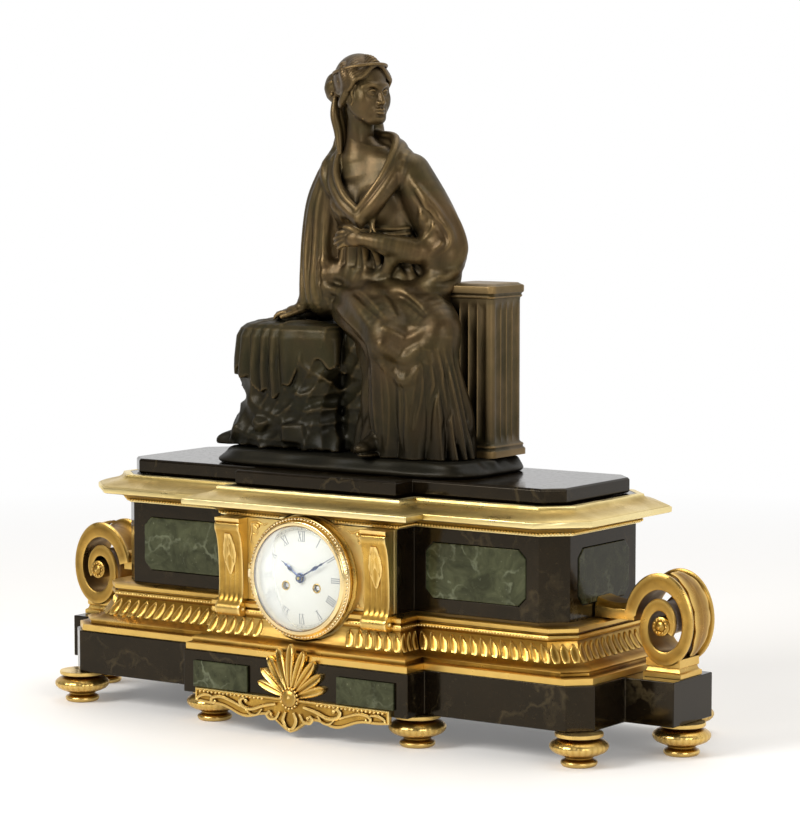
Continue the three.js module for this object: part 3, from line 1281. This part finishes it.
const bellRim = -PLATE_THICKNESS - BELL_STAND_OFF + 2 * RUNNING_GAP;

// The hammer: an arbor between the plates, a tail for the pins, and an arm to the bell's rim.
function makeHammer() {
  const strikeDirection = 215;
  const rest = BELL_RADIUS + HAMMER_HEAD_RADIUS + 3 * RUNNING_GAP;
  const head = polar(rest, strikeDirection, bellPlace);
  const armLevel = -PLATE_THICKNESS - 3 * RUNNING_GAP - WHEEL_THICKNESS;
  const tailReach = Math.hypot(pinPlace[0] - hammerPlace[0], pinPlace[1] - hammerPlace[1])
    - HAMMER_PIN_CIRCLE - HAMMER_PIN_RADIUS - 2 * RUNNING_GAP;
  const towards = ([x, y]) => Math.atan2(y - hammerPlace[1], x - hammerPlace[0]);
  const length = Math.hypot(head[0] - hammerPlace[0], head[1] - hammerPlace[1]);
  const bar = (width, reach, level, angle) => {
    const geometry = new THREE.BoxGeometry(reach, width, WHEEL_THICKNESS);
    geometry.translate(reach / 2, 0, WHEEL_THICKNESS / 2).rotateZ(angle);
    return solid(geometry.translate(hammerPlace[0], hammerPlace[1], level));
  };
  const tailLevel = PIN_LEVEL - WHEEL_THICKNESS * 1.6;
  const headFoot = bellRim - HAMMER_HEAD_LENGTH;
  const axle = shaft(hammerPlace, armLevel, [
    [PIVOT_RADIUS, RUNNING_GAP], [ARBOR_RADIUS, shoulder], [PIVOT_RADIUS, pivotTop],
  ]);
  const post = shaft(head, headFoot, [
    [HAMMER_HEAD_RADIUS, headFoot + HAMMER_HEAD_LENGTH], [ARBOR_RADIUS, armLevel + WHEEL_THICKNESS],
  ], 14);
  fitted("hammer", joined(
    axle, bar(ARBOR_RADIUS * 2, length, armLevel, towards(head)),
    bar(ARBOR_RADIUS * 1.6, tailReach, tailLevel, towards(pinPlace)), post,
  ), steel);
}

function makeBell() {
  const [x, y] = bellPlace;
  const back = bellRim - BELL_HEIGHT;
  const bellShares = [[1, 0], [0.94, 0.36], [0.78, 0.76], [0.4, 1]];
  const post = BELL_WALL;
  const outer = bellShares.map(([r, up]) => [r * BELL_RADIUS, bellRim - up * BELL_HEIGHT]);
  const inner = bellShares.map(([r, up]) => [
    r * BELL_RADIUS - BELL_WALL, bellRim - up * (BELL_HEIGHT - BELL_WALL),
  ]);
  const profile = [
    ...outer, [post + SEAT_GAP, back], [post + SEAT_GAP, back + BELL_WALL], ...inner.reverse(), outer[0],
  ];
  fitted("bell", turned(profile, 20, x, y), steel);
  const crown = back + BELL_WALL + SEAT_GAP;
  fitted("bell_post", shaft(bellPlace, back - 2 * BELL_WALL, [
    [2 * post, back - SEAT_GAP], [post, crown], [2 * post, crown + BELL_WALL],
    [post, -PLATE_THICKNESS - SEAT_GAP],
  ], 12), steel);
}

// Motion work under the dial, and the hands
function makeMotionWork() {
  const minuteTop = hourLevel + WHEEL_THICKNESS + RUNNING_GAP;
  fitted("minute_wheel", joined(
    shaft(minutePlace, PLATE_SPACING + RUNNING_GAP, [
      [PIVOT_RADIUS, motionLevel - RUNNING_GAP], [ARBOR_RADIUS, minuteTop],
    ]),
    toothed(MINUTE_TEETH, MOTION_MODULE, WHEEL_THICKNESS, minutePlace, motionLevel, minutePhase),
    toothed(MINUTE_PINION_LEAVES, hourModule, minuteTop - motionLevel, minutePlace, motionLevel),
  ), brass);
  const foot = motionLevel + WHEEL_THICKNESS + RUNNING_GAP;
  const pipe = ring(pipeInner, pipeOuter, hourHandLevel + HAND_THICKNESS - foot, foot, 14);
  const wheel = cut(
    toothed(HOUR_TEETH, hourModule, WHEEL_THICKNESS, centrePlace, hourLevel, hourPhase),
    hole(centrePlace, (pipeInner + pipeOuter) / 2, hourLevel, hourLevel + WHEEL_THICKNESS));
  fitted("hour_wheel", joined(pipe, wheel), brass);
}

// A hand: shares of its length along and of its width across, from the boss to the tip.
function hand(length, bore, level, degrees) {
  const handShares = [
    [0.04, 0.3], [0.34, 0.2], [0.5, 0.5], [0.66, 0.2], [0.74, 0.34], [0.8, 0.12], [1, 0.02],
  ];
  const side = (sign) => handShares.map(([along, across]) => [along * length, sign * across * HAND_WIDTH]);
  const blade = geometryOf(prism([...side(-1), ...side(1).reverse()], HAND_THICKNESS, level));
  blade.rotateZ((degrees * Math.PI) / 180);
  const boss = bore + SEAT_GAP + HAND_SPACING;
  const hub = shaft([0, 0], level, [[boss, level + HAND_THICKNESS]], 16);
  return cut(joined(solid(blade), hub), hole([0, 0], bore + SEAT_GAP, level, level + HAND_THICKNESS));
}

function makeHands() {
  fitted("hour_hand", hand(HOUR_HAND_LENGTH, pipeOuter, hourHandLevel, 90 - 305), blued);
  fitted("minute_hand", hand(MINUTE_HAND_LENGTH, ARBOR_RADIUS, minuteHandLevel, 90 - 60), blued);
}

// Dial, with holes for the hands and the two winding squares
function makeDial() {
  const foot = dialFace - DIAL_THICKNESS;
  const centreHole = pipeOuter + RUNNING_GAP;
  const profile = [
    [centreHole, foot], [DIAL_RADIUS, foot], [DIAL_RADIUS, dialFace],
    [DIAL_RADIUS * 0.6, dialFace + DIAL_DOME * 0.7],
    [centreHole, dialFace + DIAL_DOME], [centreHole, foot],
  ];
  const holes = [goingPlace, strikePlace].map((place) => hole(place, WINDING_HOLE_RADIUS, foot, dialFace));
  fitted("dial", cut(turned(profile, ROUND_SIDES), ...holes), enamel);
}

// Drum: a sleeve in the bore, a flange on the dial plate and the plates, and a ledge for the dial.
const drumOuter = BORE_RADIUS - RUNNING_GAP;
const drumInner = drumOuter - DRUM_WALL;
const collarRadius = drumOuter + DRUM_WALL;
const drumFront = dialFace + SEAT_GAP;
const bezelOuter = DIAL_RADIUS + BEZEL_WIDTH;
const bezelInner = DIAL_RADIUS - BEZEL_WIDTH / 3;
const bezelFoot = drumFront + SEAT_GAP;
const hingeX = -(bezelOuter + HINGE_RADIUS + RUNNING_GAP);

function makeDrum() {
  const flange = frontFace + 2 * SEAT_GAP;
  const ledge = dialFace - DIAL_THICKNESS - SEAT_GAP;
  const profile = [
    [drumInner, PLATE_SPACING / 2], [drumOuter, PLATE_SPACING / 2], [drumOuter, flange],
    [bezelOuter, flange], [bezelOuter, flange + DRUM_FLANGE], [collarRadius, flange + 2 * DRUM_FLANGE],
    [collarRadius, drumFront], [drumInner, drumFront], [drumInner, ledge], [bezelInner, ledge],
    [bezelInner, ledge - DRUM_FLANGE], [drumInner, ledge - DRUM_FLANGE], [drumInner, flange + DRUM_FLANGE],
    [PLATE_RADIUS * 0.9, flange + DRUM_FLANGE], [PLATE_RADIUS * 0.9, flange], [drumInner, flange],
    [drumInner, PLATE_SPACING / 2],
  ];
  const lugs = hingeLugs(hingeX, drumFront - DRUM_FLANGE * 2, drumFront, -collarRadius + DRUM_WALL / 2);
  const made = cut(joined(turned(profile, ROUND_SIDES), ...lugs), hingePin(hingeX, bezelFoot, pinBore));
  fitted("dial_drum", made, gilt);
}

const pinBore = HINGE_RADIUS * 0.4 + RUNNING_GAP;

// A bar along the hinge's axis.
function hingeBar(x, level, radius, from, to) {
  const geometry = new THREE.CylinderGeometry(radius, radius, to - from, 12);
  return solid(geometry.translate(x, (from + to) / 2, level));
}

const hingePin = (x, level, radius) => hingeBar(x, level, radius, -HINGE_LENGTH, HINGE_LENGTH);

// The two outer knuckles of a hinge with the lugs that carry them.
function hingeLugs(x, foot, top, edge, level = bezelFoot) {
  const length = HINGE_LENGTH * 0.45;
  const middle = HINGE_LENGTH * 0.64;
  return [-1, 1].flatMap((side) => [
    block(Math.abs(edge - x), length, Math.abs(top - foot), (edge + x) / 2, side * middle, Math.min(foot, top)),
    hingeBar(x, level, HINGE_RADIUS, side * middle - length / 2, side * middle + length / 2),
  ]);
}

// The middle knuckle of a hinge with its pin.
function hingeHeart(x, level) {
  const half = HINGE_LENGTH * 0.36;
  return joined(
    hingeBar(x, level, HINGE_RADIUS, -half, half),
    hingeBar(x, level, HINGE_RADIUS * 0.4, -HINGE_LENGTH * 0.85, HINGE_LENGTH * 0.85));
}

function makeBezel() {
  const top = bezelFoot + BEZEL_HEIGHT;
  const rebate = bezelInner + GLASS_THICKNESS;
  const rebateFoot = top - 1.5 * GLASS_THICKNESS;
  const profile = [
    [bezelInner, bezelFoot], [bezelOuter, bezelFoot], [bezelOuter, bezelFoot + BEZEL_HEIGHT * 0.36],
    [bezelOuter - BEZEL_WIDTH * 0.3, bezelFoot + BEZEL_HEIGHT * 0.5],
    [bezelOuter - BEZEL_WIDTH * 0.42, bezelFoot + BEZEL_HEIGHT * 0.8], [rebate + GLASS_THICKNESS, top],
    [rebate, top], [rebate, rebateFoot], [bezelInner, rebateFoot], [bezelInner, bezelFoot],
  ];
  const lug = block(Math.abs(bezelOuter + hingeX) + BEZEL_WIDTH / 3, HINGE_LENGTH * 0.6, HINGE_RADIUS,
    hingeX / 2 - (bezelOuter - BEZEL_WIDTH / 3) / 2, 0, bezelFoot);
  fitted("bezel", joined(turned(profile, ROUND_SIDES), lug, hingeHeart(hingeX, bezelFoot)), gilt);
  const glassRadius = rebate - SEAT_GAP;
  const glassFoot = rebateFoot + SEAT_GAP;
  const domeShares = [[1, 0], [0.72, 0.5], [0.36, 0.88], [0, 1]];
  const above = domeShares.map(([r, up]) => [r * glassRadius, glassFoot + GLASS_THICKNESS + up * GLASS_DOME]);
  const below = domeShares.map(([r, up]) => [r * glassRadius, glassFoot + up * GLASS_DOME]);
  fitted("glass", turned([...below.reverse(), ...above], ROUND_SIDES), clearGlass);
}

// Rear ring with straps to the drum, and the rear door
const rearFace = -(BODY_DEPTH / 2 - backPlatePlane) - SEAT_GAP;
const rearOuter = BORE_RADIUS + REAR_RING_THICKNESS;
const doorHingeX = -(rearOuter + HINGE_RADIUS + RUNNING_GAP);

function makeRear() {
  const foot = rearFace - REAR_RING_THICKNESS;
  const band = ring(rearOuter - REAR_RING_WIDTH, rearOuter, REAR_RING_THICKNESS, foot, 24);
  const strapX = drumInner - 2 * RUNNING_GAP - STRAP_THICKNESS / 2;
  const strapFront = PLATE_SPACING * 0.8;
  const strap = (side) => block(STRAP_THICKNESS, STRAP_WIDTH, strapFront - foot, side * strapX, 0, foot);
  const doorFront = foot - SEAT_GAP;
  const axis = doorFront - REAR_DOOR_THICKNESS / 2;
  const lugs = hingeLugs(doorHingeX, foot, foot + REAR_RING_THICKNESS, -rearOuter + REAR_RING_THICKNESS, axis);
  const made = joined(band, strap(-1), strap(1), ...lugs);
  fitted("rear_ring", cut(made, hingePin(doorHingeX, axis, pinBore)), brass);
  const doorRadius = rearOuter - RUNNING_GAP;
  const door = shaft([0, 0], doorFront - REAR_DOOR_THICKNESS, [[doorRadius, doorFront]], 24);
  const lug = block(Math.abs(doorRadius + doorHingeX) + STRAP_WIDTH, HINGE_LENGTH * 0.6, REAR_DOOR_THICKNESS,
    (doorHingeX - doorRadius + STRAP_WIDTH) / 2, 0, doorFront - REAR_DOOR_THICKNESS);
  const knob = shaft([doorRadius * 0.8, 0], doorFront - 3 * REAR_DOOR_THICKNESS, [
    [REAR_DOOR_THICKNESS * 2, doorFront - 2 * REAR_DOOR_THICKNESS], [REAR_DOOR_THICKNESS, doorFront],
  ], 14);
  fitted("rear_door", joined(door, lug, knob, hingeHeart(doorHingeX, axis)), brass);
}

function makeMovement() {
  makePlates();
  makeBarrels();
  makeGoingTrain();
  makeAnchor();
  makeCock();
  makePendulum();
  makeStrikeTrain();
  makeHammer();
  makeBell();
  makeMotionWork();
  makeHands();
  makeDial();
  makeDrum();
  makeBezel();
  makeRear();
}

// Stands the clock on z = 0 with the middle of its box on the z axis.
function centred() {
  assembly.updateMatrixWorld(true);
  const box = new THREE.Box3().setFromObject(assembly, true);
  const middle = box.getCenter(new THREE.Vector3());
  assembly.position.set(-middle.x, -middle.y, -box.min.z);
}

makePlinth();
makeFeet();
makeLowerMoulding();
makeBody();
makePanels();
makeCornice();
makeTopSlab();
makeDialPlate();
makeConsoles();
makeApron();
makeVolutes();
makeFigureBase();
makeFigureBody();
makeMovement();
centred();

export default clock;
